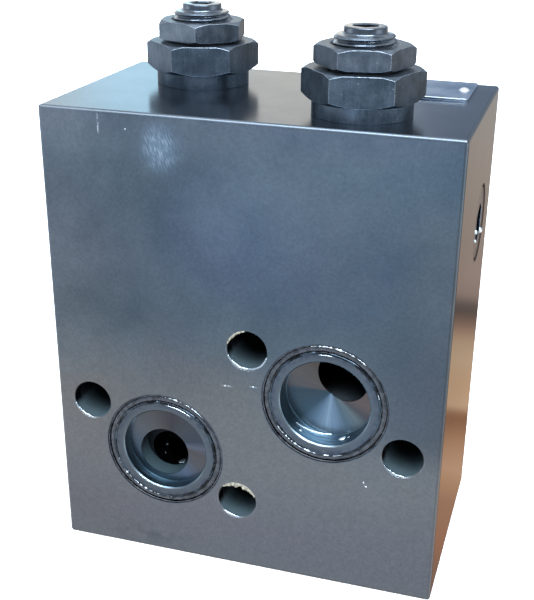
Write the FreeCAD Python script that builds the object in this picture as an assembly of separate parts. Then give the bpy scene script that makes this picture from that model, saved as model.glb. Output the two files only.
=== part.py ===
import FreeCAD, Part
import math
import os

Vector = FreeCAD.Vector

# Dual adjustable relief valve manifold. Millimetres, +Z up, origin at the middle of the block's underside.
# The mounting face, with the two sealed ports, looks along -Y.

# ---- manifold block ----
BLOCK_WIDTH = 110.0
BLOCK_DEPTH = 66.0
BLOCK_HEIGHT = 130.4
BLOCK_EDGE_RADIUS = 0.9

FRONT_Y = -BLOCK_DEPTH / 2
REAR_Y = BLOCK_DEPTH / 2
SIDE_X = BLOCK_WIDTH / 2

# ---- sealed ports and bolt holes of the mounting face ----
PATTERN_HEIGHT = 45.35          # height of the middle of the port pattern
PORT_OFFSET_X = 23.1            # each port from the middle of the pattern
PORT_OFFSET_Z = 11.15
PORT_BORE_RADIUS = 12.4
LEFT_PORT_WALL_DEPTH = 3.65
LEFT_PORT_CONE_RISE = 0.8       # extra depth at the tip of the shallow coned floor
RIGHT_PORT_WALL_DEPTH = 6.4
RIGHT_PORT_CONE_RISE = 1.8
PORT_MOUTH_CHAMFER = 0.35
GROOVE_INNER_RADIUS = 14.7
GROOVE_OUTER_RADIUS = 17.4
GROOVE_DEPTH = 2.3
PORT_O_RING_SECTION = 2.1       # flush with the face when it isn't squeezed
BOLT_HOLE_RADIUS = 5.5
BOLT_CIRCLE_RADIUS = 25.0       # each port's two bolts, from the port's axis
BOLT_LINE_ANGLE = -30.0         # slope of the line through each port's two bolts
BOLT_HOLE_CHAMFER = 0.35

# ---- passages behind the ports ----
LEFT_STEP_X = -24.75            # wide first stage of the left port's passage
LEFT_STEP_Z = 31.15
LEFT_STEP_RADIUS = 7.3
LEFT_STEP_DEPTH = 5.5
LEFT_PASSAGE_X = -24.9
LEFT_PASSAGE_Z = 29.4
LEFT_PASSAGE_RADIUS = 5.6
RIGHT_SLANT_RADIUS = 7.15       # slanting drilling from the right port up to its cavity
RIGHT_SLANT_X = 26.5
RIGHT_SLANT_Z = 62.0            # its height at the port's floor
RIGHT_SLANT_ANGLE = 30.0        # its rise from the horizontal
RIGHT_PASSAGE_RADIUS = 6.5
CROSS_DRILL_RADIUS = 5.0
RISER_RADIUS = 4.0

# ---- line ports on the rear face, G 1/2 ----
LINE_THREAD_RADIUS = 10.48
LINE_THREAD_DEPTH = 16.0
LINE_MOUTH_CHAMFER = 0.9

# ---- cartridges: places, and turn of each hexagon's corner from the +X direction ----
CARTRIDGES = {
    "left": {"x": -25.75, "y": 9.9, "hex_turn": -42.4, "nut_turn": -78.4, "socket_turn": 12.0},
    "right": {"x": 25.75, "y": -14.3, "hex_turn": -49.1, "nut_turn": -48.0, "socket_turn": -20.0},
}

# heights below are from the block's top face, along the cartridge's axis
COLLAR_RADIUS = 12.85
COLLAR_TOP = 3.8
HEX_FLATS = 27.0
HEX_TOP = 11.5
HEX_CHAMFER_ANGLE = 30.0
HEX_CHAMFER_RADIUS_LOWER = 13.5
HEX_CHAMFER_RADIUS_UPPER = 14.2
SHANK_RADIUS = 12.0
SHANK_END = -15.0
SEAL_NECK_RADIUS = 10.6         # undercut of the shank for the O-ring below the collar
SEAL_NECK_END = -2.2
BARREL_RADIUS = 10.0
BARREL_END = -37.9
NOSE_RADIUS = 8.9
NOSE_END = -50.0
NOSE_GROOVE_RADIUS = 7.4
NOSE_GROOVE_TOP = -41.4
NOSE_GROOVE_BOTTOM = -45.4
CHAMBER_RADIUS = 7.97           # one straight bore for adjuster, guide, spring and poppet
CHAMBER_END = -38.0
SEAT_BORE_RADIUS = 5.5
SIDE_HOLE_RADIUS = 2.5
SIDE_HOLE_COUNT = 4
OUTLET_HEIGHT = -33.4           # side holes and cross drillings

CAVITY_RADIUS = 11.25
CAVITY_END = -38.0
CAVITY_NOSE_RADIUS = 8.95
CAVITY_NOSE_END = -51.0
NOSE_DRILL_RADIUS = 5.5
CAVITY_MOUTH_RADIUS = 12.5
CAVITY_MOUTH_DEPTH = 2.4

WASHER_RADIUS = 9.3
WASHER_BORE_RADIUS = 8.05
NUT_FLATS = 22.0
NUT_BOTTOM = 12.2
NUT_TOP = 17.2
NUT_CHAMFER_RADIUS_LOWER = 11.8
NUT_CHAMFER_RADIUS_UPPER = 11.3
NUT_BORE_RADIUS = 7.95
NUT_BORE_CHAMFER = 0.7

ADJUSTER_RADIUS = 7.9           # M16 x 1.5
ADJUSTER_THREAD_TOP = 19.5
ADJUSTER_TOP_CHAMFER = 0.7
ADJUSTER_END = -4.5
ADJUSTER_CAP_RADIUS = 5.25
ADJUSTER_CAP_TOP = 21.5
ADJUSTER_CAP_CHAMFER = 0.4
ADJUSTER_SOCKET_FLATS = 6.0
ADJUSTER_SOCKET_DEPTH = 6.5
ADJUSTER_GROOVE_RADIUS = 6.25
ADJUSTER_GROOVE_TOP = -0.9
ADJUSTER_GROOVE_BOTTOM = -3.0

GUIDE_RADIUS = 7.9
GUIDE_FLANGE_END = -7.0
GUIDE_PILOT_RADIUS = 4.1
GUIDE_PILOT_END = -11.5

POPPET_GUIDE_RADIUS = 7.9
POPPET_GUIDE_TOP = -21.0
POPPET_POCKET_RADIUS = 7.0
POPPET_POCKET_FLOOR = -23.5
POPPET_GUIDE_END = -29.5
POPPET_STEM_RADIUS = 4.6
POPPET_BALANCE_RADIUS = 1.0     # drain hole from the spring side to the outlet

SEAT_FLANGE_RADIUS = 7.9
SEAT_FLANGE_TOP = -36.4
SEAT_STEM_RADIUS = 5.48
SEAT_END = -46.0
SEAT_ORIFICE_RADIUS = 3.2
SEAT_EDGE_RADIUS = 3.9
POPPET_SEAT_GAP = 0.03

SPRING_MEAN_RADIUS = 5.6
SPRING_WIRE_RADIUS = 1.05
SPRING_TURNS = 4.5
SPRING_END_GAP = 0.06

BODY_O_RING = (11.55, 0.85)     # mean radius, section radius
NOSE_O_RING = (8.18, 0.75)
ADJUSTER_O_RING = (7.12, 0.82)
BACKUP_RING_THICKNESS = 1.1
BACKUP_RING_CLEARANCE = 0.02

# ---- side plugs, G 1/2, and bottom plugs, M10 ----
SIDE_PLUG_RADIUS = 10.40
SIDE_PLUG_LENGTH = 13.0
SIDE_PLUG_RECESS = 0.25
SIDE_PLUG_CHAMFER = 0.5
SIDE_PLUG_SOCKET_FLATS = 10.0
SIDE_PLUG_SOCKET_DEPTH = 6.5
SIDE_PLUG_GROOVE_RADIUS = 8.6
SIDE_PLUG_GROOVE_START = 2.0
SIDE_PLUG_GROOVE_WIDTH = 2.2
SIDE_PLUG_O_RING = (9.54, 0.88)
SIDE_PLUG_HOLE_RADIUS = 10.48
SIDE_PLUG_HOLE_CHAMFER = 0.35
BOTTOM_PLUG_RADIUS = 5.0
BOTTOM_PLUG_LENGTH = 9.0
BOTTOM_PLUG_RECESS = 0.4
BOTTOM_PLUG_SOCKET_FLATS = 5.0
BOTTOM_PLUG_SOCKET_DEPTH = 4.0
BOTTOM_PLUG_HOLE_RADIUS = 5.03

# ---- name plate ----
PLATE_RIGHT_X = 49.2
PLATE_LENGTH = 40.0
PLATE_FRONT_Y = 8.0
PLATE_WIDTH = 23.0
PLATE_THICKNESS = 0.7
PLATE_CORNER_RADIUS = 1.2
RIVET_INSET = 2.4
RIVET_HEAD_RADIUS = 1.5
RIVET_HEAD_HEIGHT = 0.8
RIVET_SHANK_RADIUS = 0.9
RIVET_LENGTH = 4.0

OVERCUT = 1.0                   # how far a cutting shape reaches past the face it starts from

UP = Vector(0, 0, 1)
TO_REAR = Vector(0, 1, 0)
TO_FRONT = Vector(0, -1, 0)
TO_RIGHT = Vector(1, 0, 0)
TO_LEFT = Vector(-1, 0, 0)


def port_centre(side):
    """Middle of a port on the mounting face; side is -1 for the left port, 1 for the right one."""
    return Vector(side * PORT_OFFSET_X, FRONT_Y, PATTERN_HEIGHT + side * PORT_OFFSET_Z)


def bolt_centres():
    """The four bolt holes: two beside each port, on one sloping line."""
    slope = math.radians(BOLT_LINE_ANGLE)
    reach = Vector(BOLT_CIRCLE_RADIUS * math.cos(slope), 0, BOLT_CIRCLE_RADIUS * math.sin(slope))
    return [port_centre(side) + reach * end for side in (-1, 1) for end in (-1, 1)]


def turned(profile):
    """Solid of revolution about Z from a closed outline of (radius, height) points."""
    points = [Vector(radius, 0, height) for radius, height in profile]
    outline = Part.makePolygon(points + points[:1])
    return Part.Face(outline).revolve(Vector(0, 0, 0), UP, 360)


def placed(shape, position, direction=UP):
    """A copy of a shape made along +Z, turned to point along direction and moved to position."""
    moved = shape.copy()
    turn_and_move = FreeCAD.Placement(position, FreeCAD.Rotation(UP, direction))
    moved.Placement = turn_and_move.multiply(shape.Placement)
    return moved


def hexagon(flats, bottom, top, turn=0.0):
    """Hexagonal prism about Z, with its first corner turned by turn degrees from +X."""
    corner = Vector(flats / math.sqrt(3), 0, bottom)
    corners = [FreeCAD.Rotation(UP, turn + 60 * index).multVec(corner) for index in range(6)]
    outline = Part.makePolygon(corners + corners[:1])
    return Part.Face(outline).extrude(Vector(0, 0, top - bottom))


def nut_blank(flats, bottom, top, turn, lower_radius, upper_radius):
    """Hexagon whose corners are taken off by a cone at each end."""
    slope = math.tan(math.radians(HEX_CHAMFER_ANGLE))
    reach = flats / math.sqrt(3) + OVERCUT
    envelope = turned([
        (0, bottom),
        (lower_radius, bottom),
        (reach, bottom + (reach - lower_radius) * slope),
        (reach, top - (reach - upper_radius) * slope),
        (upper_radius, top),
        (0, top),
    ])
    return hexagon(flats, bottom, top, turn).common(envelope)


def drilling(radius, start, end):
    """Plain round drilling between two points."""
    line = end - start
    return Part.makeCylinder(radius, line.Length, start, line)


def countersink(radius, chamfer, mouth, inward):
    """Cone that breaks the edge of a round hole at its mouth."""
    return Part.makeCone(radius + chamfer, radius, chamfer, mouth, inward)


def ring(mean_radius, section_radius, height=0.0):
    """O-ring about Z."""
    return Part.makeTorus(mean_radius, section_radius, Vector(0, 0, height), UP)


# ---- manifold block ----
def cut_port(block, side, wall_depth, cone_rise):
    """Sealed port: shallow coned bore, a bare ridge and the O-ring's groove."""
    centre = port_centre(side)
    bore = placed(turned([
        (0, -OVERCUT),
        (PORT_BORE_RADIUS + PORT_MOUTH_CHAMFER, -OVERCUT),
        (PORT_BORE_RADIUS + PORT_MOUTH_CHAMFER, 0),
        (PORT_BORE_RADIUS, PORT_MOUTH_CHAMFER),
        (PORT_BORE_RADIUS, wall_depth),
        (0, wall_depth + cone_rise),
    ]), centre, TO_REAR)
    groove = placed(turned([
        (GROOVE_INNER_RADIUS, -OVERCUT),
        (GROOVE_OUTER_RADIUS, -OVERCUT),
        (GROOVE_OUTER_RADIUS, GROOVE_DEPTH),
        (GROOVE_INNER_RADIUS, GROOVE_DEPTH),
    ]), centre, TO_REAR)
    return block.cut(bore).cut(groove)


def cut_bolt_holes(block):
    """Four clearance holes right through the block, broken at both edges."""
    for centre in bolt_centres():
        rear = Vector(centre.x, REAR_Y, centre.z)
        block = block.cut(drilling(BOLT_HOLE_RADIUS, centre - TO_REAR, rear + TO_REAR))
        block = block.cut(countersink(BOLT_HOLE_RADIUS, BOLT_HOLE_CHAMFER, centre, TO_REAR))
        block = block.cut(countersink(BOLT_HOLE_RADIUS, BOLT_HOLE_CHAMFER, rear, TO_FRONT))
    return block


def cut_line_port(block, x, z, passage_radius, passage_end):
    """Threaded line port on the rear face and the straight drilling behind it."""
    mouth = Vector(x, REAR_Y, z)
    thread_floor = Vector(x, REAR_Y - LINE_THREAD_DEPTH, z)
    block = block.cut(drilling(LINE_THREAD_RADIUS, mouth + TO_REAR, thread_floor))
    block = block.cut(countersink(LINE_THREAD_RADIUS, LINE_MOUTH_CHAMFER, mouth, TO_FRONT))
    return block.cut(drilling(passage_radius, thread_floor, Vector(x, passage_end, z)))


def cut_left_passages(block):
    """Left port straight through to its line port, by way of a wider first stage."""
    floor_y = FRONT_Y + LEFT_PORT_WALL_DEPTH
    step_end = floor_y + LEFT_STEP_DEPTH
    step = drilling(LEFT_STEP_RADIUS, Vector(LEFT_STEP_X, floor_y, LEFT_STEP_Z),
                    Vector(LEFT_STEP_X, step_end, LEFT_STEP_Z))
    block = block.cut(step)
    return cut_line_port(block, LEFT_PASSAGE_X, LEFT_PASSAGE_Z, LEFT_PASSAGE_RADIUS, step_end)


def right_passage_height():
    """Height where the slanting drilling reaches the right cartridge's axis."""
    run = CARTRIDGES["right"]["y"] - (FRONT_Y + RIGHT_PORT_WALL_DEPTH)
    return RIGHT_SLANT_Z + run * math.tan(math.radians(RIGHT_SLANT_ANGLE))


def cut_right_passages(block):
    """Slanting drilling from the right port to its cavity, and on to its line port."""
    x = CARTRIDGES["right"]["x"]
    y = CARTRIDGES["right"]["y"]
    rise = math.tan(math.radians(RIGHT_SLANT_ANGLE))
    floor_y = FRONT_Y + RIGHT_PORT_WALL_DEPTH
    mouth = Vector(RIGHT_SLANT_X, floor_y - RIGHT_SLANT_RADIUS, RIGHT_SLANT_Z - RIGHT_SLANT_RADIUS * rise)
    slant = drilling(RIGHT_SLANT_RADIUS, mouth, Vector(RIGHT_SLANT_X, y, right_passage_height()))
    behind_floor = Part.makeBox(BLOCK_WIDTH, BLOCK_DEPTH, BLOCK_HEIGHT, Vector(-SIDE_X, floor_y, 0))
    inside_bore = Part.makeCylinder(PORT_BORE_RADIUS, RIGHT_PORT_WALL_DEPTH, port_centre(1), TO_REAR)
    block = block.cut(slant.common(behind_floor.fuse(inside_bore)))
    return cut_line_port(block, x, right_passage_height(), RIGHT_PASSAGE_RADIUS, y)


def cut_cavity(block, side, nose_drill_end):
    """Stepped cavity for a cartridge and the feed drilling below its nose."""
    cavity = turned([
        (0, OVERCUT),
        (CAVITY_MOUTH_RADIUS, OVERCUT),
        (CAVITY_MOUTH_RADIUS, -CAVITY_MOUTH_DEPTH),
        (SHANK_RADIUS, -CAVITY_MOUTH_DEPTH),
        (SHANK_RADIUS, SHANK_END),
        (CAVITY_RADIUS, SHANK_END),
        (CAVITY_RADIUS, CAVITY_END),
        (CAVITY_NOSE_RADIUS, CAVITY_END),
        (CAVITY_NOSE_RADIUS, CAVITY_NOSE_END),
        (NOSE_DRILL_RADIUS, CAVITY_NOSE_END),
        (NOSE_DRILL_RADIUS, nose_drill_end - BLOCK_HEIGHT),
        (0, nose_drill_end - BLOCK_HEIGHT),
    ])
    return block.cut(placed(cavity, cartridge_origin(side)))


def cut_cross_drilling(block, outlet_side, plug_direction):
    """One cartridge's outlet, drilled from a side face and crossed by a riser from the underside."""
    outlet = CARTRIDGES[outlet_side]
    z = BLOCK_HEIGHT + OUTLET_HEIGHT
    face = Vector(plug_direction.x * SIDE_X, outlet["y"], z)
    plug_floor = face - plug_direction * (SIDE_PLUG_LENGTH + SIDE_PLUG_RECESS)
    block = block.cut(drilling(SIDE_PLUG_HOLE_RADIUS, face + plug_direction, plug_floor))
    block = block.cut(countersink(SIDE_PLUG_HOLE_RADIUS, SIDE_PLUG_HOLE_CHAMFER, face, plug_direction * -1))
    block = block.cut(drilling(CROSS_DRILL_RADIUS, plug_floor, Vector(outlet["x"], outlet["y"], z)))
    riser_x = -outlet["x"]
    riser_foot = Vector(riser_x, outlet["y"], -OVERCUT)
    block = block.cut(drilling(RISER_RADIUS, riser_foot, Vector(riser_x, outlet["y"], z)))
    plug_hole_top = Vector(riser_x, outlet["y"], BOTTOM_PLUG_RECESS + BOTTOM_PLUG_LENGTH)
    return block.cut(drilling(BOTTOM_PLUG_HOLE_RADIUS, riser_foot, plug_hole_top))


def make_block():
    block = Part.makeBox(BLOCK_WIDTH, BLOCK_DEPTH, BLOCK_HEIGHT, Vector(-SIDE_X, FRONT_Y, 0))
    block = block.makeFillet(BLOCK_EDGE_RADIUS, block.Edges)
    block = cut_port(block, -1, LEFT_PORT_WALL_DEPTH, LEFT_PORT_CONE_RISE)
    block = cut_port(block, 1, RIGHT_PORT_WALL_DEPTH, RIGHT_PORT_CONE_RISE)
    block = cut_bolt_holes(block)
    block = cut_left_passages(block)
    block = cut_right_passages(block)
    block = cut_cavity(block, "left", LEFT_PASSAGE_Z)
    block = cut_cavity(block, "right", right_passage_height() - RIGHT_PASSAGE_RADIUS)
    block = cut_cross_drilling(block, "left", TO_RIGHT)
    block = cut_cross_drilling(block, "right", TO_LEFT)
    for centre in rivet_centres():
        block = block.cut(drilling(RIVET_SHANK_RADIUS, centre + UP, centre - UP * RIVET_LENGTH))
    return block


# ---- cartridges, made along Z with the block's top face at height 0 ----
def cartridge_origin(side):
    return Vector(CARTRIDGES[side]["x"], CARTRIDGES[side]["y"], BLOCK_HEIGHT)


def make_cartridge_body(side):
    """Collar, large hexagon, screwed shank, barrel and nose, with one bore right through."""
    outside = turned([
        (0, COLLAR_TOP),
        (COLLAR_RADIUS, COLLAR_TOP),
        (COLLAR_RADIUS, 0),
        (SEAL_NECK_RADIUS, 0),
        (SEAL_NECK_RADIUS, SEAL_NECK_END),
        (SHANK_RADIUS, SEAL_NECK_END),
        (SHANK_RADIUS, SHANK_END),
        (BARREL_RADIUS, SHANK_END),
        (BARREL_RADIUS, BARREL_END),
        (NOSE_RADIUS, BARREL_END),
        (NOSE_RADIUS, NOSE_GROOVE_TOP),
        (NOSE_GROOVE_RADIUS, NOSE_GROOVE_TOP),
        (NOSE_GROOVE_RADIUS, NOSE_GROOVE_BOTTOM),
        (NOSE_RADIUS, NOSE_GROOVE_BOTTOM),
        (NOSE_RADIUS, NOSE_END),
        (0, NOSE_END),
    ])
    hexagonal = nut_blank(HEX_FLATS, COLLAR_TOP, HEX_TOP, CARTRIDGES[side]["hex_turn"],
                          HEX_CHAMFER_RADIUS_LOWER, HEX_CHAMFER_RADIUS_UPPER)
    chamber = turned([
        (0, HEX_TOP + OVERCUT),
        (CHAMBER_RADIUS, HEX_TOP + OVERCUT),
        (CHAMBER_RADIUS, CHAMBER_END),
        (SEAT_BORE_RADIUS, CHAMBER_END),
        (SEAT_BORE_RADIUS, NOSE_END - OVERCUT),
        (0, NOSE_END - OVERCUT),
    ])
    body = outside.fuse(hexagonal).cut(chamber)
    for index in range(SIDE_HOLE_COUNT):
        angle = 2 * math.pi * index / SIDE_HOLE_COUNT
        direction = Vector(math.cos(angle), math.sin(angle), 0)
        start = Vector(0, 0, OUTLET_HEIGHT)
        body = body.cut(drilling(SIDE_HOLE_RADIUS, start, start + direction * SHANK_RADIUS))
    return body


def make_valve_seat():
    return turned([
        (SEAT_EDGE_RADIUS, SEAT_FLANGE_TOP),
        (SEAT_FLANGE_RADIUS, SEAT_FLANGE_TOP),
        (SEAT_FLANGE_RADIUS, CHAMBER_END),
        (SEAT_STEM_RADIUS, CHAMBER_END),
        (SEAT_STEM_RADIUS, SEAT_END),
        (SEAT_ORIFICE_RADIUS, SEAT_END),
        (SEAT_ORIFICE_RADIUS, SEAT_FLANGE_TOP - (SEAT_EDGE_RADIUS - SEAT_ORIFICE_RADIUS)),
    ])


def make_poppet():
    """Cone that closes the seat, a stem, and a guide with the spring's pocket."""
    cone_length = POPPET_STEM_RADIUS
    cone_lift = POPPET_STEM_RADIUS - SEAT_EDGE_RADIUS
    cone_start = SEAT_FLANGE_TOP + cone_lift + POPPET_SEAT_GAP
    poppet = turned([
        (0, POPPET_POCKET_FLOOR),
        (POPPET_POCKET_RADIUS, POPPET_POCKET_FLOOR),
        (POPPET_POCKET_RADIUS, POPPET_GUIDE_TOP),
        (POPPET_GUIDE_RADIUS, POPPET_GUIDE_TOP),
        (POPPET_GUIDE_RADIUS, POPPET_GUIDE_END),
        (POPPET_STEM_RADIUS, POPPET_GUIDE_END),
        (POPPET_STEM_RADIUS, cone_start),
        (0, cone_start - cone_length),
    ])
    offset = (POPPET_STEM_RADIUS + POPPET_GUIDE_RADIUS) / 2
    balance = drilling(POPPET_BALANCE_RADIUS, Vector(offset, 0, POPPET_GUIDE_END - OVERCUT),
                       Vector(offset, 0, POPPET_GUIDE_TOP + OVERCUT))
    return poppet.cut(balance)


def make_spring():
    """Round-wire compression spring between the poppet's pocket and the guide's flange."""
    bottom = POPPET_POCKET_FLOOR + SPRING_WIRE_RADIUS + SPRING_END_GAP
    top = GUIDE_FLANGE_END - SPRING_WIRE_RADIUS - SPRING_END_GAP
    helix = Part.makeHelix((top - bottom) / SPRING_TURNS, top - bottom, SPRING_MEAN_RADIUS)
    wire_section = Part.Wire(Part.makeCircle(SPRING_WIRE_RADIUS, Vector(SPRING_MEAN_RADIUS, 0, 0), TO_REAR))
    coil = Part.Wire(helix).makePipeShell([wire_section], True, True)
    coil.translate(Vector(0, 0, bottom))
    return coil


def make_spring_guide():
    return turned([
        (0, ADJUSTER_END),
        (GUIDE_RADIUS, ADJUSTER_END),
        (GUIDE_RADIUS, GUIDE_FLANGE_END),
        (GUIDE_PILOT_RADIUS, GUIDE_FLANGE_END),
        (GUIDE_PILOT_RADIUS, GUIDE_PILOT_END),
        (0, GUIDE_PILOT_END),
    ])


def make_adjuster_screw(side):
    """Threaded stud with a seal groove below and a reduced, socketed end above."""
    screw = turned([
        (0, ADJUSTER_END),
        (ADJUSTER_RADIUS, ADJUSTER_END),
        (ADJUSTER_RADIUS, ADJUSTER_GROOVE_BOTTOM),
        (ADJUSTER_GROOVE_RADIUS, ADJUSTER_GROOVE_BOTTOM),
        (ADJUSTER_GROOVE_RADIUS, ADJUSTER_GROOVE_TOP),
        (ADJUSTER_RADIUS, ADJUSTER_GROOVE_TOP),
        (ADJUSTER_RADIUS, ADJUSTER_THREAD_TOP - ADJUSTER_TOP_CHAMFER),
        (ADJUSTER_RADIUS - ADJUSTER_TOP_CHAMFER, ADJUSTER_THREAD_TOP),
        (ADJUSTER_CAP_RADIUS, ADJUSTER_THREAD_TOP),
        (ADJUSTER_CAP_RADIUS, ADJUSTER_CAP_TOP - ADJUSTER_CAP_CHAMFER),
        (ADJUSTER_CAP_RADIUS - ADJUSTER_CAP_CHAMFER, ADJUSTER_CAP_TOP),
        (0, ADJUSTER_CAP_TOP),
    ])
    socket = hexagon(ADJUSTER_SOCKET_FLATS, ADJUSTER_CAP_TOP - ADJUSTER_SOCKET_DEPTH,
                     ADJUSTER_CAP_TOP + OVERCUT, CARTRIDGES[side]["socket_turn"])
    return screw.cut(socket)


def make_locknut(side):
    blank = nut_blank(NUT_FLATS, NUT_BOTTOM, NUT_TOP, CARTRIDGES[side]["nut_turn"],
                      NUT_CHAMFER_RADIUS_LOWER, NUT_CHAMFER_RADIUS_UPPER)
    bore = turned([
        (0, NUT_BOTTOM - OVERCUT),
        (NUT_BORE_RADIUS, NUT_BOTTOM - OVERCUT),
        (NUT_BORE_RADIUS, NUT_TOP - NUT_BORE_CHAMFER),
        (NUT_BORE_RADIUS + NUT_BORE_CHAMFER, NUT_TOP),
        (NUT_BORE_RADIUS + NUT_BORE_CHAMFER, NUT_TOP + OVERCUT),
        (0, NUT_TOP + OVERCUT),
    ])
    return blank.cut(bore)


def make_seal_washer():
    return turned([
        (WASHER_BORE_RADIUS, HEX_TOP),
        (WASHER_RADIUS, HEX_TOP),
        (WASHER_RADIUS, NUT_BOTTOM),
        (WASHER_BORE_RADIUS, NUT_BOTTOM),
    ])


def make_backup_rings():
    """One flat ring at each end of the nose groove, either side of the O-ring."""
    inner = NOSE_GROOVE_RADIUS + BACKUP_RING_CLEARANCE
    outer = CAVITY_NOSE_RADIUS - BACKUP_RING_CLEARANCE
    lowest = NOSE_GROOVE_BOTTOM + BACKUP_RING_CLEARANCE
    highest = NOSE_GROOVE_TOP - BACKUP_RING_CLEARANCE
    rings = []
    for bottom in (lowest, highest - BACKUP_RING_THICKNESS):
        top = bottom + BACKUP_RING_THICKNESS
        rings.append(turned([(inner, bottom), (outer, bottom), (outer, top), (inner, top)]))
    return Part.makeCompound(rings)


def cartridge_parts(side):
    """Every piece of one cartridge, by name, in the object's frame."""
    groove_middle = (ADJUSTER_GROOVE_TOP + ADJUSTER_GROOVE_BOTTOM) / 2
    parts = {
        "cartridge_body": make_cartridge_body(side),
        "valve_seat": make_valve_seat(),
        "poppet": make_poppet(),
        "spring": make_spring(),
        "spring_guide": make_spring_guide(),
        "adjuster_screw": make_adjuster_screw(side),
        "adjuster_o_ring": ring(*ADJUSTER_O_RING, groove_middle),
        "seal_washer": make_seal_washer(),
        "locknut": make_locknut(side),
        "body_o_ring": ring(*BODY_O_RING, SEAL_NECK_END / 2),
        "nose_o_ring": ring(*NOSE_O_RING, (NOSE_GROOVE_TOP + NOSE_GROOVE_BOTTOM) / 2),
        "nose_backup_rings": make_backup_rings(),
    }
    origin = cartridge_origin(side)
    return {f"{side}_{name}": placed(shape, origin) for name, shape in parts.items()}


# ---- plugs and port seals ----
def make_side_plug():
    """Hollow-hexagon screw plug, made along Z with its outer face at height 0."""
    groove_end = SIDE_PLUG_GROOVE_START + SIDE_PLUG_GROOVE_WIDTH
    plug = turned([
        (0, 0),
        (SIDE_PLUG_RADIUS - SIDE_PLUG_CHAMFER, 0),
        (SIDE_PLUG_RADIUS, -SIDE_PLUG_CHAMFER),
        (SIDE_PLUG_RADIUS, -SIDE_PLUG_GROOVE_START),
        (SIDE_PLUG_GROOVE_RADIUS, -SIDE_PLUG_GROOVE_START),
        (SIDE_PLUG_GROOVE_RADIUS, -groove_end),
        (SIDE_PLUG_RADIUS, -groove_end),
        (SIDE_PLUG_RADIUS, -SIDE_PLUG_LENGTH),
        (0, -SIDE_PLUG_LENGTH),
    ])
    return plug.cut(hexagon(SIDE_PLUG_SOCKET_FLATS, -SIDE_PLUG_SOCKET_DEPTH, OVERCUT))


def side_plug_parts(side, outlet_side, direction):
    """A side plug and its O-ring; the plug closes the drilling to the other side's cartridge."""
    outward = SIDE_X - SIDE_PLUG_RECESS
    position = Vector(direction.x * outward, CARTRIDGES[outlet_side]["y"], BLOCK_HEIGHT + OUTLET_HEIGHT)
    groove_middle = -(SIDE_PLUG_GROOVE_START + SIDE_PLUG_GROOVE_WIDTH / 2)
    return {
        f"side_plug_{side}": placed(make_side_plug(), position, direction),
        f"side_plug_o_ring_{side}": placed(ring(*SIDE_PLUG_O_RING, groove_middle), position, direction),
    }


def make_bottom_plugs():
    """Two small plugs that close the risers from below."""
    plugs = []
    for side in ("left", "right"):
        blank = Part.makeCylinder(BOTTOM_PLUG_RADIUS, BOTTOM_PLUG_LENGTH)
        socket = hexagon(BOTTOM_PLUG_SOCKET_FLATS, -OVERCUT, BOTTOM_PLUG_SOCKET_DEPTH)
        position = Vector(-CARTRIDGES[side]["x"], CARTRIDGES[side]["y"], BOTTOM_PLUG_RECESS)
        plugs.append(placed(blank.cut(socket), position))
    return Part.makeCompound(plugs)


def make_port_o_ring(side):
    section_radius = PORT_O_RING_SECTION / 2
    mean_radius = (GROOVE_INNER_RADIUS + GROOVE_OUTER_RADIUS) / 2
    depth = GROOVE_DEPTH - section_radius
    return placed(ring(mean_radius, section_radius, depth), port_centre(side), TO_REAR)


# ---- name plate ----
def rivet_centres():
    middle_y = PLATE_FRONT_Y + PLATE_WIDTH / 2
    right = PLATE_RIGHT_X - RIVET_INSET
    left = PLATE_RIGHT_X - PLATE_LENGTH + RIVET_INSET
    return [Vector(x, middle_y, BLOCK_HEIGHT) for x in (left, right)]


def make_nameplate():
    corner = Vector(PLATE_RIGHT_X - PLATE_LENGTH, PLATE_FRONT_Y, BLOCK_HEIGHT)
    plate = Part.makeBox(PLATE_LENGTH, PLATE_WIDTH, PLATE_THICKNESS, corner)
    upright = [edge for edge in plate.Edges if edge.BoundBox.ZLength > PLATE_THICKNESS / 2]
    plate = plate.makeFillet(PLATE_CORNER_RADIUS, upright)
    for centre in rivet_centres():
        above = centre + UP * (PLATE_THICKNESS + OVERCUT)
        plate = plate.cut(drilling(RIVET_SHANK_RADIUS, centre - UP, above))
    return plate


def make_rivets():
    """Round-headed drive rivets."""
    dome_radius = (RIVET_HEAD_RADIUS ** 2 + RIVET_HEAD_HEIGHT ** 2) / (2 * RIVET_HEAD_HEIGHT)
    rivets = []
    for centre in rivet_centres():
        seat = centre + UP * PLATE_THICKNESS
        dome = Part.makeSphere(dome_radius, seat + UP * (RIVET_HEAD_HEIGHT - dome_radius))
        keep = Part.makeCylinder(RIVET_HEAD_RADIUS + OVERCUT, RIVET_HEAD_HEIGHT + OVERCUT, seat)
        shank = drilling(RIVET_SHANK_RADIUS, centre - UP * RIVET_LENGTH, seat)
        rivets.append(dome.common(keep).fuse(shank))
    return Part.makeCompound(rivets)


def all_parts():
    parts = {"manifold_block": make_block()}
    parts["port_o_ring_left"] = make_port_o_ring(-1)
    parts["port_o_ring_right"] = make_port_o_ring(1)
    for side in CARTRIDGES:
        parts.update(cartridge_parts(side))
    parts.update(side_plug_parts("right", "left", TO_RIGHT))
    parts.update(side_plug_parts("left", "right", TO_LEFT))
    parts["bottom_plugs"] = make_bottom_plugs()
    parts["nameplate"] = make_nameplate()
    parts["nameplate_rivets"] = make_rivets()
    return parts


os.makedirs("parts", exist_ok=True)
for node, shape in all_parts().items():
    solids = shape.Solids
    if not shape.isValid() or not solids:
        raise ValueError(f"{node} isn't a valid solid")
    shape.exportStep(f"parts/{node}.step")
    print(f"{node}: {len(solids)} solid(s), {shape.Volume:.1f} mm3")
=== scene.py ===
import random
from math import cos, pi, radians, sin

import bmesh
import bpy
from mathutils import Matrix, Vector, noise


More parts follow.
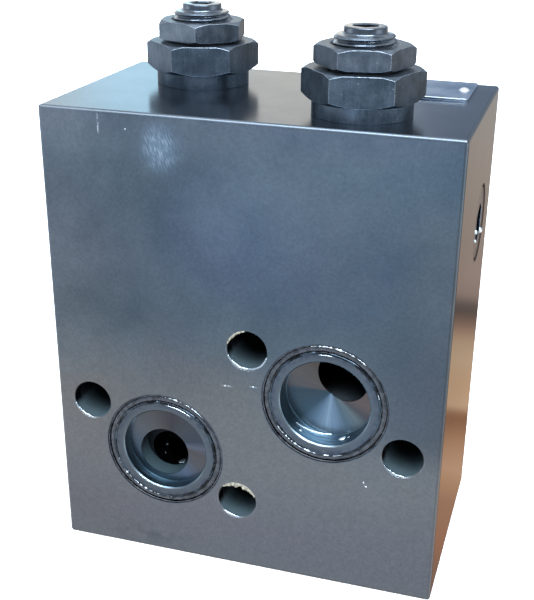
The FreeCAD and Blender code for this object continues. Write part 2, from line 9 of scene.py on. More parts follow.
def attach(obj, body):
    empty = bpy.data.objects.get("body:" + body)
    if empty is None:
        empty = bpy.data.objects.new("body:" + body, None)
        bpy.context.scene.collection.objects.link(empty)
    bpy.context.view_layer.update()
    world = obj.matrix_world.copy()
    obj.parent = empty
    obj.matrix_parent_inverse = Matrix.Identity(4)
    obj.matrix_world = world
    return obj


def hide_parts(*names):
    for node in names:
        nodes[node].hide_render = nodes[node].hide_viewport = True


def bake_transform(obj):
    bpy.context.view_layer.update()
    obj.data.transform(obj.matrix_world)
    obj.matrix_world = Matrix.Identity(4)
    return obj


# Looks of a dual relief valve manifold: dark oxidised steel block and cartridges, oily, on a white floor.
# Lengths are in millimetres until they are written to a mesh. Holes and round parts are given by radius.

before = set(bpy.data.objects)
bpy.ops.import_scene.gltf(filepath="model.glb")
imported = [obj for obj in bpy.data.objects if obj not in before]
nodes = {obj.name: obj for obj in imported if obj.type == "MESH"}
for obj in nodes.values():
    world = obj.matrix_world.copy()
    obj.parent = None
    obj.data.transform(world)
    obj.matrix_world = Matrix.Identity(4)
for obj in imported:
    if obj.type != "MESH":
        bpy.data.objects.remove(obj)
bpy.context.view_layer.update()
MM = 0.001

# ---- camera ----
CAMERA_PLACE = Vector((81.07, -272.16, 189.87)) * MM
CAMERA_FORWARD = Vector((-0.25946, 0.87764, -0.40302))
CAMERA_RIGHT = Vector((0.95729, 0.28884, 0.01269))
CAMERA_LENS = 63.27
CAMERA_SHIFT = (-0.0205, 0.0290)

# ---- the block's own sizes ----
HALF_WIDTH = 55.0
HALF_DEPTH = 33.0
FRONT = -HALF_DEPTH    # y of the front face
HEIGHT = 130.4
PORTS = {"left": (-23.1, 34.2), "right": (23.1, 56.5)}    # x and z of each axis
PORT_BORE = 12.4
GROOVE_INNER = 14.7
GROOVE_OUTER = 17.4
# where a mask starts and where it is full, along y or z
PORT_MOUTH = (FRONT + 0.02, FRONT + 0.15)
PORT_SHALLOW = (-19.0, -21.0)    # the sealed ports' bores end before this
DRILLED = (-29.6, -29.2)    # walls farther in than this are drilled
LEFT_STEP = (-23.7, -24.1)    # the left port's first step ends here
SLANTING_LOW = (58.5, 54.5)    # lower side of the right port's slanting drilling
SLANTING_MOUTH = (-14.0, -22.0)
REAR = (8.0, 15.0)    # from here on, drillings get light from the rear
# the bolt holes' painted shade comes in over these depths
BOLT_SHADE_DEPTH = (FRONT + 9.0, FRONT + 14.0)
# x and z of each bolt hole's axis
BOLT_HOLES = ((-44.75, 46.7), (1.45, 69.0), (44.75, 44.0), (-1.45, 21.7))
BOLT_HOLE = 5.5
LINE_PORTS = {"left": (-24.9, 29.4), "right": (25.75, 69.1)}    # x and z of each axis
SIDE_PLUGS = ((1, 9.9, 97.0), (-1, -14.3, 97.0))    # side, y and z of each plug's axis
SIDE_PLUG_HOLE = 10.48
LINE_THREAD = 10.48
LINE_THREAD_DEPTH = 15.0
LINE_PITCH = 1.814
LINE_THREAD_HEIGHT = 1.16
LINE_THREAD_START = 1.3    # from the rear face
LINE_THREAD_STEPS = 72    # to one turn

# ---- adjuster screw, heights from the block's top face ----
CARTRIDGES = {"left": (-25.75, 9.9), "right": (25.75, -14.3)}    # x and y of each axis
SOCKET_TURN = {"left": 12.0, "right": -20.0}
STUD_RADIUS = 7.9
STUD_PITCH = 1.5
STUD_THREAD_DEPTH = 0.75
STUD_THREAD_GAP = 1.0    # between the groove and the thread's first turn
STUD_FOOT = -4.5
STUD_FOOT_CHAMFER = 0.2
STUD_TOP = 19.5
STUD_TOP_CHAMFER = 0.7
STUD_GROOVE = (-3.0, -0.9, 6.25)    # bottom, top, radius
STUD_CAP_RADIUS = 5.4
STUD_CAP_TOP = 21.5
STUD_CAP_EDGE = 0.4
STUD_FILLET = 0.7
SOCKET_FLATS = 6.0
SOCKET_DEPTH = 6.5
SOCKET_CHAMFER = 0.25
SOCKET_POINT = 1.0    # depth of the drill point below the socket
STUD_SEGMENTS = 144
STUD_FILLET_STEPS = 4
STUD_SHARP = radians(38)
STUD_CENTRE = 0.01    # a ring this small closes an end
THREAD_STEPS = 10    # rings to one pitch of thread

# ---- springs, heights from the block's top face ----
SPRING_CUT = -15.2    # where its two halves meet


def show(name, data):
    """Puts a mesh, or another kind of data, into the scene as an object."""
    made = bpy.data.objects.new(name, data)
    bpy.context.scene.collection.objects.link(made)
    return made


# ---- node trees ----
class Shade:
    """A node tree with short ways to add the nodes that the looks are made of."""

    def __init__(self, tree):
        self.tree = tree

    def join(self, socket, value):
        """Links an output to a socket, or writes a constant into the socket."""
        if isinstance(value, bpy.types.NodeSocket):
            self.tree.links.new(value, socket)
        elif socket.type == "RGBA":
            socket.default_value = (*value, 1.0)
        else:
            socket.default_value = value

    def add(self, kind, inputs=None, **settings):
        """A new node with its inputs joined and its settings set."""
        node = self.tree.nodes.new(kind)
        for name, value in settings.items():
            setattr(node, name, value)
        for name, value in (inputs or {}).items():
            self.join(node.inputs[name], value)
        return node

    def math(self, operation, *values):
        """Result of an operation on numbers."""
        node = self.add("ShaderNodeMath", operation=operation)
        for socket, value in zip(node.inputs, values):
            self.join(socket, value)
        return node.outputs[0]

    def plus(self, first, second):
        return self.math("ADD", first, second)

    def minus(self, first, second):
        return self.math("SUBTRACT", first, second)

    def times(self, first, second):
        return self.math("MULTIPLY", first, second)

    def larger(self, first, second):
        return self.math("MAXIMUM", first, second)

    def vector(self, operation, first, second=None, output="Vector"):
        """Result of an operation on vectors or colours."""
        node = self.add("ShaderNodeVectorMath", operation=operation)
        self.join(node.inputs[0], first)
        if second is not None:
            self.join(node.inputs["Scale" if operation == "SCALE" else 1], second)
        return node.outputs[output]

    def split(self, vector):
        """The three parts of a vector or colour."""
        return self.add("ShaderNodeSeparateXYZ", {"Vector": vector}).outputs

    def combine(self, x, y, z):
        """Vector made of three numbers."""
        return self.add("ShaderNodeCombineXYZ", {"X": x, "Y": y, "Z": z}).outputs[0]

    def remap(self, value, low, high, to_low=0.0, to_high=1.0, smooth=True):
        """Value taken from low..high to to_low..to_high and held at the ends."""
        node = self.add("ShaderNodeMapRange", {"Value": value, "From Min": low, "From Max": high,
                                               "To Min": to_low, "To Max": to_high})
        node.interpolation_type = "SMOOTHSTEP" if smooth else "LINEAR"
        return node.outputs[0]

    def mix(self, factor, first, second):
        """Mix of two colours."""
        node = self.add("ShaderNodeMix", data_type="RGBA")
        self.join(node.inputs[0], factor)
        self.join(node.inputs[6], first)
        self.join(node.inputs[7], second)
        return node.outputs[2]

    def ramp(self, value, low, high, stops):
        """Colour looked up along stops of (value, colour) that lie between low and high."""
        node = self.add("ShaderNodeValToRGB", {"Fac": self.remap(value, low, high, smooth=False)})
        elements = node.color_ramp.elements
        while len(elements) < len(stops):
            elements.new(0.5)
        for element, (level, colour) in zip(elements, stops):
            element.position = (level - low) / (high - low)
            element.color = (*colour, 1)
        return node.outputs[0]

    def paint(self, colour, coat, mask, strength):
        """Colour with coat laid over it where mask is 1, as thickly as strength."""
        return self.mix(self.times(mask, strength), colour, coat)

    def both(self, *masks):
        """Product of masks."""
        product, *others = masks
        for mask in others:
            product = self.times(product, mask)
        return product

    def blend(self, factor, first, second):
        """Mix of two numbers."""
        node = self.add("ShaderNodeMix", data_type="FLOAT")
        self.join(node.inputs[0], factor)
        self.join(node.inputs[2], first)
        self.join(node.inputs[3], second)
        return node.outputs[0]


class Look(Shade):
    """One procedural material. Its place vector is the piece's own coordinates in millimetres."""

    def __init__(self, name):
        self.material = bpy.data.materials.new(name)
        self.material.use_nodes = True
        super().__init__(self.material.node_tree)
        self.shader = self.tree.nodes["Principled BSDF"]
        coordinates = self.add("ShaderNodeTexCoord")
        self.place = self.vector("SCALE", coordinates.outputs["Object"], 1 / MM)
        self.facing = coordinates.outputs["Normal"]

    def set(self, **values):
        """Sets or joins the shader's inputs; an underscore in a name stands for a space."""
        for name, value in values.items():
            self.join(self.shader.inputs[name.replace("_", " ")], value)

    def pattern(self, vector, detail, rough=0.5):
        """Noise at a place that is already scaled."""
        inputs = {"Vector": vector, "Scale": 1.0, "Detail": detail, "Roughness": rough}
        return self.add("ShaderNodeTexNoise", inputs).outputs[0]

    def noise(self, size, detail=2.0, stretch=(1, 1, 1), shift=0.0, rough=0.5):
        """Noise whose features are about size millimetres, drawn out along an axis by stretch."""
        scale = tuple(1 / (size * along) for along in stretch)
        moved = self.vector("ADD", self.place, (shift, shift, shift))
        return self.pattern(self.vector("MULTIPLY", moved, scale), detail, rough)

    def shades(self, size, low=0.3, high=0.7, **settings):
        """Noise spread out so that it is 0 at low and 1 at high."""
        return self.remap(self.noise(size, **settings), low, high)

    def bump(self, height, depth, normal=None):
        """Bump whose full height is depth millimetres."""
        inputs = {"Height": height, "Distance": depth * MM, "Strength": 1.0}
        if normal is not None:
            inputs["Normal"] = normal
        return self.add("ShaderNodeBump", inputs).outputs[0]

    def edge(self, radius, low=0.02, high=0.25):
        """1 on edges that stand out or turn in within radius millimetres, 0 on flat ground."""
        straight = self.add("ShaderNodeNewGeometry").outputs["Normal"]
        likeness = self.vector("DOT_PRODUCT", self.rounded(radius), straight, output="Value")
        return self.remap(self.minus(1.0, likeness), low, high)

    def rounded(self, radius):
        """Normal that turns the corners smoothly within radius millimetres."""
        return self.add("ShaderNodeBevel", {"Radius": radius * MM}, samples=6).outputs[0]

    def length(self, vector):
        return self.vector("LENGTH", vector, output="Value")

    def near(self, centre, reach, soft):
        """1 inside an ellipsoid with half-axes reach, fading out over soft of its size."""
        offset = self.vector("SUBTRACT", self.place, centre)
        scaled = self.vector("DIVIDE", offset, reach)
        return self.remap(self.length(scaled), 1 + soft, 1 - soft)


# ---- light ----
# light by height of its direction, all around
ROOM = (
    (-0.95, (0.75, 0.75, 0.76)),
    (-0.6, (1.42, 1.36, 1.34)),
    (-0.42, (1.16, 1.14, 1.16)),
    (-0.27, (0.86, 0.95, 1.08)),
    (0.0, (0.62, 0.72, 0.86)),
    (0.25, (0.6, 0.68, 0.8)),
    (0.6, (0.95, 1.05, 1.18)),
    (0.95, (1.25, 1.35, 1.45)),
)
# wall behind the object, by x over y of its direction: a window, a pale wall, a dark corner
BACKDROP = (
    (-0.8, (1.0, 1.05, 1.1)),
    (-0.56, (1.08, 1.22, 1.26)),
    (-0.49, (1.12, 1.6, 1.9)),
    (-0.42, (1.15, 1.75, 2.1)),
    (-0.37, (1.08, 1.25, 1.3)),
    (-0.33, (1.2, 1.16, 1.06)),
    (-0.23, (1.18, 1.14, 1.04)),
    (-0.18, (0.55, 0.62, 0.72)),
    (-0.14, (0.26, 0.34, 0.47)),
    (0.05, (0.22, 0.28, 0.38)),
    (0.4, (0.32, 0.38, 0.46)),
)
# wooden bench behind the object, by height of its direction
BENCH = (
    (-0.62, (0.28, 0.17, 0.12)),
    (-0.595, (0.32, 0.19, 0.13)),
    (-0.58, (0.42, 0.21, 0.13)),
    (-0.545, (0.45, 0.25, 0.16)),
    (-0.53, (0.57, 0.34, 0.2)),
    (-0.52, (0.65, 0.4, 0.26)),
    (-0.5, (0.53, 0.3, 0.18)),
    (-0.48, (0.32, 0.155, 0.088)),
    (-0.475, (0.37, 0.19, 0.11)),
    (-0.47, (0.7, 0.47, 0.3)),
    (-0.45, (0.66, 0.43, 0.27)),
    (-0.43, (0.66, 0.47, 0.31)),
    (-0.415, (0.58, 0.4, 0.27)),
    (-0.4, (0.3, 0.19, 0.145)),
    (-0.39, (0.14, 0.105, 0.09)),
    (-0.384, (0.16, 0.125, 0.11)),
    (-0.375, (0.38, 0.28, 0.24)),
    (-0.36, (0.43, 0.32, 0.27)),
    (-0.33, (0.42, 0.335, 0.28)),
    (-0.25, (0.47, 0.4, 0.35)),
    (-0.18, (0.46, 0.44, 0.42)),
    (0.0, (0.38, 0.4, 0.44)),
)
# lamps: direction, cosine where each ends and where it is full, colour
LAMPS = (
    ((-0.1, -0.9, -0.4), 0.955, 0.985, (1.5, 2.0, 2.6)),
    ((0.27, -0.88, -0.38), 0.94, 0.985, (0.55, 0.65, 0.75)),
    ((-0.93, -0.25, -0.27), 0.9, 0.97, (2.0, 2.2, 2.4)),
    ((0.97, -0.1, -0.2), 0.9, 0.97, (2.0, 2.2, 2.4)),
    ((0.08, -0.45, 0.88), 0.84, 0.93, (2.6, 2.8, 3.0)),
    ((-0.22, -0.43, 0.87), 0.955, 0.985, (9.0, 10.5, 12.0)),
    ((0.1, -0.45, 0.86), 0.955, 0.985, (12.0, 14.0, 16.0)),
    ((0.42, -0.46, 0.78), 0.95, 0.985, (16.0, 18.0, 20.0)),
)


def make_world():
    """Soft studio surroundings with a window, a wall and a bench behind the object; white to the camera."""
    world = bpy.data.worlds.new("studio")
    bpy.context.scene.world = world
    world.use_nodes = True
    sky = Shade(world.node_tree)
    background = sky.tree.nodes["Background"]
    direction = sky.add("ShaderNodeTexCoord").outputs["Generated"]
    across, depth, height = sky.split(direction)
    colour = sky.ramp(height, -1, 1, ROOM)
    bearing = sky.math("DIVIDE", across, sky.larger(depth, 0.05))
    behind = sky.remap(depth, 0.45, 0.60)
    wall = sky.both(behind, sky.remap(height, 0.05, 0.10), sky.remap(height, 0.42, 0.32))
    colour = sky.mix(wall, colour, sky.ramp(bearing, -0.8, 0.4, BACKDROP))
    bench = sky.both(behind, sky.remap(bearing, -0.25, -0.12), sky.remap(height, 0.05, -0.02))
    colour = sky.mix(bench, colour, sky.ramp(height, -0.65, 0.0, BENCH))
    for towards, outer, inner, tint in LAMPS:
        likeness = sky.vector("DOT_PRODUCT", direction, tuple(Vector(towards).normalized()), output="Value")
        colour = sky.mix(sky.remap(likeness, outer, inner), colour, tint)
    seen = sky.add("ShaderNodeLightPath").outputs["Is Camera Ray"]
    sky.join(background.inputs["Color"], sky.mix(seen, colour, (1.0, 1.0, 1.0)))


def make_floor():
    """White floor that the object stands on."""
    reach = 4.0
    mesh = bpy.data.meshes.new("floor")
    corners = [(-reach, -reach, 0), (reach, -reach, 0), (reach, reach, 0), (-reach, reach, 0)]
    mesh.from_pydata(corners, [], [(0, 1, 2, 3)])
    floor = show("floor", mesh)
    floor.location.z = -0.02 * MM
    floor.visible_glossy = False
    look = Look("floor_white")
    look.set(Base_Color=(0.9, 0.9, 0.9), Roughness=1.0, Emission_Color=(1.0, 1.0, 1.0), Emission_Strength=0.3)
    floor.data.materials.append(look.material)


def make_camera():
    """Camera, with the picture's framing in its shift."""
    data = bpy.data.cameras.new("camera")
    data.lens = CAMERA_LENS
    data.shift_x, data.shift_y = CAMERA_SHIFT
    data.clip_start = 0.01
    camera = show("camera", data)
    back = -CAMERA_FORWARD.normalized()
    up = back.cross(CAMERA_RIGHT).normalized()
    right = up.cross(back)
    turn = Matrix((right, up, back)).transposed().to_4x4()
    camera.matrix_world = Matrix.Translation(CAMERA_PLACE) @ turn
    bpy.context.scene.camera = camera


# ---- materials ----
OXIDE_DARK = (0.084, 0.120, 0.168)
OXIDE_LIGHT = (0.140, 0.188, 0.251)
FLOOR_REFLECTION_GREY = (0.158, 0.168, 0.188)
RIGHT_PAINTED_SHADE = (0.068, 0.080, 0.096)
OXIDE_MOTTLE = (0.055, 0.065, 0.080)
RIM_STEEL = (0.50, 0.55, 0.62)
EDGE_STEEL = (0.125, 0.140, 0.155)
RIDGE_STEEL = (0.092, 0.106, 0.120)
RIDGE_DULL = (0.060, 0.070, 0.090)
WALL_DARK = (0.085, 0.130, 0.165)
WALL_LIGHT = (0.180, 0.245, 0.285)
# painted shade and painted light inside the drillings and on the left port's first step
STEP_PAINTED_SHADE = (0.010, 0.014, 0.018)
STEP_PAINTED_LIGHT = (0.035, 0.058, 0.066)
DEEP_PAINTED_SHADE = (0.003, 0.003, 0.004)
SLANTING_PAINTED_LIGHT = (0.026, 0.034, 0.040)
REAR_PAINTED_LIGHT = (0.130, 0.140, 0.155)
BOLT_LIT = (0.045, 0.068, 0.078)
BOLT_SHADE = (0.004, 0.004, 0.006)
PLUG_GRIME = (0.060, 0.042, 0.035)

# painted light and shade by height, multiplied into the block's oxide colour
BLOCK_PAINTED_LIGHT = (
    (0.0, (0.89, 0.83, 0.75)),
    (12.0, (0.94, 0.83, 0.77)),
    (32.0, (1.06, 0.95, 0.81)),
    (48.0, (1.03, 0.93, 0.78)),
    (62.0, (0.98, 0.87, 0.72)),
    (76.0, (0.78, 0.72, 0.61)),
    (92.0, (0.8, 0.72, 0.64)),
    (108.0, (0.83, 0.78, 0.69)),
    (120.0, (0.93, 0.88, 0.77)),
    (130.4, (1.12, 0.99, 0.88)),
)
# broad faint patches of painted light and shade on the front face: centre, reach, tint
FRONT_PAINTED_LIGHT = (
    ((-3.0, FRONT, 98.0), (17.0, 5.0, 15.0), (1.1, 1.13, 1.24)),
    ((-52.0, FRONT, 90.0), (13.0, 5.0, 42.0), (1.18, 1.1, 1.07)),
    ((52.0, FRONT, 93.0), (9.0, 5.0, 18.0), (1.25, 1.12, 1.02)),
    ((-20.0, FRONT, 66.0), (11.0, 5.0, 12.0), (0.86, 0.85, 0.89)),
    ((24.0, FRONT, 84.0), (10.0, 5.0, 9.0), (0.88, 0.91, 0.96)),
)
# painted reflection on the turned floor of the right port, by angle from +X in degrees
RIGHT_FLOOR_REFLECTION = (
    (0.0, (0.107, 0.091, 0.088)),
    (60.0, (0.078, 0.081, 0.085)),
    (110.0, (0.075, 0.065, 0.058)),
    (150.0, (0.098, 0.088, 0.083)),
    (172.0, (0.101, 0.091, 0.088)),
    (180.0, (0.049, 0.068, 0.081)),
    (225.0, (0.052, 0.078, 0.094)),
    (247.0, (0.117, 0.163, 0.208)),
    (266.0, (0.225, 0.29, 0.34)),
    (278.0, (0.176, 0.234, 0.299)),
    (298.0, (0.098, 0.137, 0.163)),
    (318.0, (0.13, 0.159, 0.166)),
    (330.0, (0.078, 0.078, 0.085)),
    (345.0, (0.117, 0.098, 0.094)),
    (360.0, (0.107, 0.091, 0.088)),
)
# painted reflection on the faced floor of the left port, by angle from +X in degrees
LEFT_FLOOR_REFLECTION = (
    (0.0, (0.095, 0.11, 0.145)),
    (12.0, (0.05, 0.062, 0.083)),
    (50.0, (0.055, 0.065, 0.077)),
    (85.0, (0.052, 0.052, 0.06)),
    (120.0, (0.075, 0.075, 0.077)),
    (155.0, (0.087, 0.09, 0.095)),
    (185.0, (0.065, 0.077, 0.09)),
    (225.0, (0.04, 0.055, 0.068)),
    (270.0, (0.055, 0.085, 0.1)),
    (300.0, (0.085, 0.11, 0.155)),
    (325.0, (0.087, 0.09, 0.098)),
    (348.0, (0.083, 0.08, 0.087)),
    (360.0, (0.095, 0.11, 0.145)),
)
# painted reflection colours, depth at the wall and extra depth at the tip of each port's floor
PORT_FLOORS = {"left": (LEFT_FLOOR_REFLECTION, 3.65, 0.8), "right": (RIGHT_FLOOR_REFLECTION, 6.4, 1.8)}


def face_colour(look, x, z):
    """Cloudy blue-grey oxide of the ground faces, with a painted reflection of the floor low down, painted
    light and shade by height and in broad patches on the front, and painted shade on the right part; gives
    the colour, clouds and mottle.
    """
    clouds = look.shades(34, detail=3.0, rough=0.55)
    mottle = look.remap(look.noise(2.2, detail=4.0, rough=0.65, shift=40), 0.30, 0.70, smooth=False)
    colour = look.mix(clouds, OXIDE_DARK, OXIDE_LIGHT)
    # painted reflection of the floor: greyer low down
    low_painted_reflection = look.remap(look.plus(z, look.times(look.noise(26, shift=9), 34)), 92, 66)
    colour = look.paint(colour, FLOOR_REFLECTION_GREY, low_painted_reflection, 0.75)
    # painted light and shade by height
    colour = look.vector("MULTIPLY", colour, look.ramp(z, 0.0, HEIGHT, BLOCK_PAINTED_LIGHT))
    # painted shade over the right part of the block, 38 to 88 mm high
    painted_shade = look.both(look.remap(x, 24, 46), look.remap(z, 38, 52), look.remap(z, 88, 70))
    colour = look.paint(colour, RIGHT_PAINTED_SHADE, painted_shade, 0.75)
    # broad patches of painted light and shade on the front face
    for centre, reach, tint in FRONT_PAINTED_LIGHT:
        relit = look.vector("MULTIPLY", colour, tint)
        colour = look.mix(look.near(centre, reach, 0.85), colour, relit)
    fine = look.noise(0.75, detail=3.0, rough=0.6, shift=23)
    colour = look.vector("SCALE", colour, look.remap(fine, 0.30, 0.70, 0.90, 1.10, smooth=False))
    colour = look.paint(colour, OXIDE_MOTTLE, mottle, 0.16)
    return colour, clouds, mottle


def front_marks(look, colour):
    """Scuffs, nicks and a smear on the front face; gives the colour and the scuffs' mask."""
    scuff_area = look.near((-21.3, FRONT, 121.8), (5.0, 3.0, 5.8), 0.60)
    leaning = look.add("ShaderNodeVectorRotate", {"Vector": look.place, "Angle": radians(20)},
                       rotation_type="Y_AXIS").outputs[0]
    streaks = look.pattern(look.vector("MULTIPLY", leaning, (2.6, 1.0, 0.42)), 2.0)
    scuffs = look.times(scuff_area, look.remap(streaks, 0.44, 0.68))
    core = look.near((-21.8, FRONT, 122.0), (3.2, 3.0, 4.2), 0.8)
    bright = look.times(core, look.remap(streaks, 0.46, 0.62))
    colour = look.paint(colour, (0.18, 0.29, 0.40), scuff_area, 0.14)
    colour = look.paint(colour, (0.50, 0.64, 0.80), scuffs, 0.10)
    colour = look.paint(colour, (0.42, 0.60, 0.80), core, 0.13)
    colour = look.paint(colour, (0.85, 0.95, 1.0), bright, 0.18)

    nick = look.near((-38.2, FRONT, 126.8), (0.22, 2.0, 2.3), 0.5)
    nick = look.times(nick, look.shades(0.7, 0.35, 0.6, shift=33))
    colour = look.paint(colour, (0.70, 0.74, 0.80), nick, 0.7)
    for nick_x, nick_z, half in ((-4.2, 57.75, 1.5), (3.3, 58.6, 1.1)):
        dash = look.near((nick_x, FRONT, nick_z), (half, 2.0, 0.22), 0.5)
        colour = look.paint(colour, (0.45, 0.47, 0.50), dash, 0.4)
    smear = look.near((-27.5, FRONT, 4.0), (9.0, 4.0, 4.0), 0.9)
    smear = look.times(smear, look.shades(3.5, 0.36, 0.66, detail=4.0, shift=61))
    colour = look.paint(colour, (0.045, 0.052, 0.064), smear, 0.35)
    return colour, scuffs


def outer_edges(look, x, y, z):
    """1 on the block's top edges, less on its other outer edges, 0 elsewhere."""
    side = look.minus(HALF_WIDTH, look.math("ABSOLUTE", x))
    front = look.minus(HALF_DEPTH, look.math("ABSOLUTE", y))
    end = look.math("MINIMUM", z, look.minus(HEIGHT, z))
    nearer = look.math("MINIMUM", side, front)
    farther = look.math("MINIMUM", look.larger(side, front), end)
    top = look.remap(z, HEIGHT - 2.0, HEIGHT - 1.0, 0.25, 1.0)
    return look.times(look.remap(look.larger(nearer, farther), 0.75, 0.40), top)


def from_axis(look, x, z, centre):
    """Distance from an axis along Y, and the offsets from it."""
    across = look.minus(x, centre[0])
    along = look.minus(z, centre[1])
    return look.length(look.combine(across, 0.0, along)), across, along


def bare_edges(look, x, y, z, colour, roughness):
    """Bare metal on the block's edges and on the rims of its holes; gives the colour and the roughness."""
    patchy = look.remap(look.noise(1.6, detail=3.0, shift=70), 0.34, 0.60, 0.35, 1.0)
    outward = look.larger(look.math("ABSOLUTE", x), look.times(z, HALF_WIDTH / HEIGHT))
    rims = look.both(look.edge(0.35), patchy, look.remap(outward, HALF_WIDTH - 1.2, HALF_WIDTH - 2.0))
    outer = look.both(outer_edges(look, x, y, z), look.remap(patchy, 0.35, 1.0, 0.75, 1.0))
    colour = look.paint(colour, RIM_STEEL, rims, 0.8)
    colour = look.paint(colour, EDGE_STEEL, outer, 0.7)
    bare = look.larger(rims, look.times(outer, 0.25))
    return colour, look.blend(bare, roughness, 0.16)


def degrees_around(look, across, along):
    """Angle of an offset from an axis, 0 to 360 degrees."""
    angle = look.times(look.math("ARCTAN2", along, across), 180 / pi)
    turned_back = look.math("LESS_THAN", angle, 0.0)
    return look.plus(angle, look.times(turned_back, 360.0))


def turned_floor_reflection(look, stops, radius, across, along):
    """Painted reflection on a turned floor: bright and dark sectors, streaked along the radius."""
    angle = degrees_around(look, across, along)
    spread = look.combine(look.times(angle, 0.22), look.times(radius, 0.10), 0.0)
    rays = look.pattern(spread, 3.0)
    floor = look.ramp(angle, 0.0, 360.0, stops)
    level = look.split(floor)[2]
    contrast = look.both(look.remap(rays, 0.35, 0.70), look.remap(level, 0.15, 0.5, 0.18, 0.5))
    return look.mix(contrast, floor, look.vector("SCALE", floor, 0.55))


def sealed_ports(look, x, y, z, colour):
    """Ridges, walls and floors of the sealed ports, the floors with a painted reflection; gives the colour
    and a mask of their machined faces.
    """
    inside = look.remap(y, *PORT_MOUTH)
    shallow = look.remap(y, *PORT_SHALLOW)
    machined = 0.0
    for side, centre in PORTS.items():
        stops, floor_depth, floor_rise = PORT_FLOORS[side]
        radius, across, along = from_axis(look, x, z, centre)
        ridge = look.both(look.remap(radius, GROOVE_OUTER + 0.3, GROOVE_OUTER + 0.1), shallow,
                          look.remap(radius, PORT_BORE + 0.2, PORT_BORE + 0.5))
        dull = look.shades(1.8, 0.35, 0.65, detail=3.0, shift=91)
        colour = look.mix(ridge, colour, RIDGE_STEEL)
        colour = look.mix(look.both(ridge, dull, look.remap(radius, 13.0, 14.6)), colour, RIDGE_DULL)

        in_bore = look.both(look.remap(radius, PORT_BORE + 0.3, PORT_BORE + 0.1), inside, shallow)
        # painted reflection on the floor
        colour = look.mix(in_bore, colour, turned_floor_reflection(look, stops, radius, across, along))
        wall = look.both(look.remap(radius, PORT_BORE - 0.3, PORT_BORE - 0.1), in_bore)
        streaked = look.shades(0.8, 0.35, 0.65, detail=3.0, stretch=(6, 1, 6), shift=19)
        colour = look.mix(wall, colour, look.mix(streaked, WALL_DARK, WALL_LIGHT))

        tip = look.remap(radius, PORT_BORE, 0.0, 0.0, floor_rise, smooth=False)
        below = look.minus(y, look.plus(tip, floor_depth + FRONT))
        above_floor = look.remap(below, 0.35, 0.15)
        machined = look.larger(machined, look.both(in_bore, above_floor))
    return colour, machined


def drilled_walls(look, x, y, z, colour, machined):
    """Walls of the deep drillings in painted shade, with painted light on lower and rear parts; gives the
    colour, their mask and a mask of those that get painted light.
    """
    drilled = look.both(look.remap(y, *DRILLED), look.minus(1.0, machined),
                        look.remap(look.math("ABSOLUTE", x), HALF_WIDTH - 0.1, HALF_WIDTH - 0.6),
                        look.remap(y, HALF_DEPTH - 0.1, HALF_DEPTH - 0.6),
                        look.remap(z, HEIGHT - 0.1, HEIGHT - 0.6), look.remap(z, 0.1, 0.6))
    first_step = look.both(look.remap(y, *LEFT_STEP), look.remap(x, 0.0, -1.0))
    # painted shade above and painted light below on the left port's first step
    step_painted_light_and_shade = look.mix(look.remap(z, 34.0, 26.0), STEP_PAINTED_SHADE, STEP_PAINTED_LIGHT)
    slanting = look.both(look.remap(z, *SLANTING_LOW), look.remap(y, *SLANTING_MOUTH),
                         look.remap(x, 12.0, 14.0))
    # painted shade deep in, painted light on the slanting drilling's lower side and from the rear
    far_painted_light_and_shade = look.mix(slanting, DEEP_PAINTED_SHADE, SLANTING_PAINTED_LIGHT)
    far_painted_light_and_shade = look.mix(look.remap(y, *REAR), far_painted_light_and_shade, REAR_PAINTED_LIGHT)
    colour = look.mix(drilled, colour, look.mix(first_step, far_painted_light_and_shade, step_painted_light_and_shade))
    return colour, drilled, look.larger(first_step, slanting)


def bolt_hole_walls(look, x, y, z, colour):
    """Dull walls of the bolt holes, with painted light below near the mouth and painted shade above and
    farther in;
    gives the colour, their mask and the mask of the painted shade."""
    bolt = 0.0
    painted_shade = 0.0
    for centre in BOLT_HOLES:
        radius, _, along = from_axis(look, x, z, centre)
        within = look.remap(radius, BOLT_HOLE + 0.12, BOLT_HOLE + 0.05)
        bolt = look.larger(bolt, within)
        painted_shade = look.plus(painted_shade, look.times(within, look.remap(along, -3.0, -0.8)))
    painted_shade = look.larger(painted_shade, look.remap(y, *BOLT_SHADE_DEPTH))
    colour = look.mix(bolt, colour, look.mix(painted_shade, BOLT_LIT, BOLT_SHADE))
    return colour, bolt, painted_shade


def plug_gaps(look, x, y, z, colour, roughness):
    """Grime in the gaps around the side plugs; gives the colour and the roughness."""
    for direction, plug_y, plug_z in SIDE_PLUGS:
        offset = look.combine(0.0, look.minus(y, plug_y), look.minus(z, plug_z))
        radius = look.length(offset)
        outward = look.times(x, direction)
        gap = look.both(look.remap(radius, SIDE_PLUG_HOLE + 0.55, SIDE_PLUG_HOLE + 0.40),
                        look.remap(radius, SIDE_PLUG_HOLE - 0.10, SIDE_PLUG_HOLE),
                        look.remap(outward, HALF_WIDTH - 3.0, HALF_WIDTH - 2.5))
        colour = look.mix(gap, colour, PLUG_GRIME)
        roughness = look.blend(gap, roughness, 0.6)
    return colour, roughness


